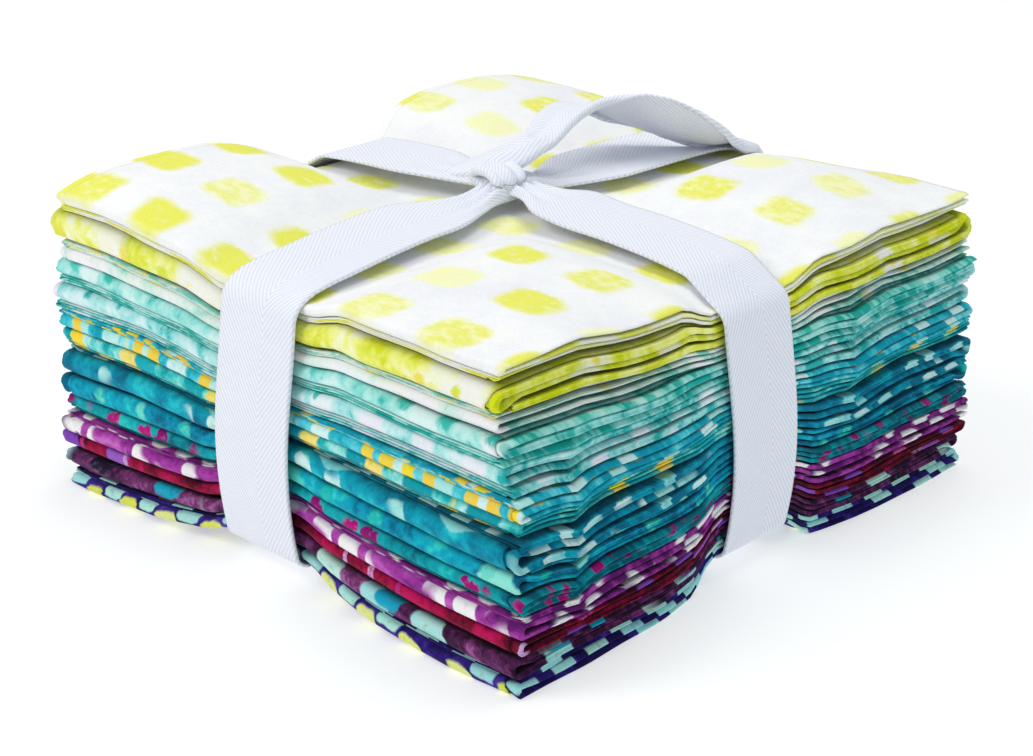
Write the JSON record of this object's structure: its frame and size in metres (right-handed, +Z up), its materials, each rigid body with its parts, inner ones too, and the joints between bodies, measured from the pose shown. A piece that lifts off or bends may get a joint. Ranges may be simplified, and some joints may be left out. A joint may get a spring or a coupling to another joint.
{
  "type": "fat quarter bundle",
  "caption": "Stack of folded quilting cottons, shading from white and lime through teal to purple, tied both ways with a white twill tape knotted on top.",
  "frame": {"origin": "under the middle of the bounding box, on the surface that the stack rests on", "axes": "+Z up; -Y is the side where the rolled folds show and the band's front run comes down; +X is the side where the ends of the layers show"},
  "size_m": [0.1644, 0.1783, 0.094],
  "materials": {
    "cloth_01_white": "matt printed cotton, white with yellow-green squares",
    "cloth_02_lime": "matt printed cotton, yellow-green mottle",
    "cloth_03_cream": "matt printed cotton, off-white mottle",
    "cloth_04_mint": "matt printed cotton, mint and aqua mottle",
    "cloth_05_ice": "matt printed cotton, pale aqua mottle",
    "cloth_06_aqua": "matt printed cotton, aqua with yellow squares",
    "cloth_07_pale_aqua": "matt printed cotton, pale aqua mottle with yellow patches",
    "cloth_08_teal": "matt printed cotton, teal with pale dots and leaves",
    "cloth_09_deep_teal": "matt printed cotton, deep teal mottle with mint patches",
    "cloth_10_berry": "matt printed cotton, teal with berry spots",
    "cloth_11_orchid": "matt printed cotton, orchid with white spots",
    "cloth_12_crimson": "matt printed cotton, crimson with lilac patches",
    "cloth_13_mauve": "matt printed cotton, plum with pale mint ovals",
    "cloth_14_purple": "matt printed cotton, purple with mint and yellow-green squares",
    "twill_tape": "matt herringbone twill, cool white"
  },
  "bodies": {
    "root": {"cloth_01_white": "cloth_01_white", "cloth_02_lime": "cloth_02_lime", "cloth_03_cream": "cloth_03_cream", "cloth_04_mint": "cloth_04_mint", "cloth_05_ice": "cloth_05_ice", "cloth_06_aqua": "cloth_06_aqua", "cloth_07_pale_aqua": "cloth_07_pale_aqua", "cloth_08_teal": "cloth_08_teal", "cloth_09_deep_teal": "cloth_09_deep_teal", "cloth_10_berry": "cloth_10_berry", "cloth_11_orchid": "cloth_11_orchid", "cloth_12_crimson": "cloth_12_crimson", "cloth_13_mauve": "cloth_13_mauve", "cloth_14_purple": "cloth_14_purple", "tape_band_long": "twill_tape", "tape_band_side": "twill_tape", "tape_knot": "twill_tape", "tape_free_end": "twill_tape"}
  },
  "joints": []
}
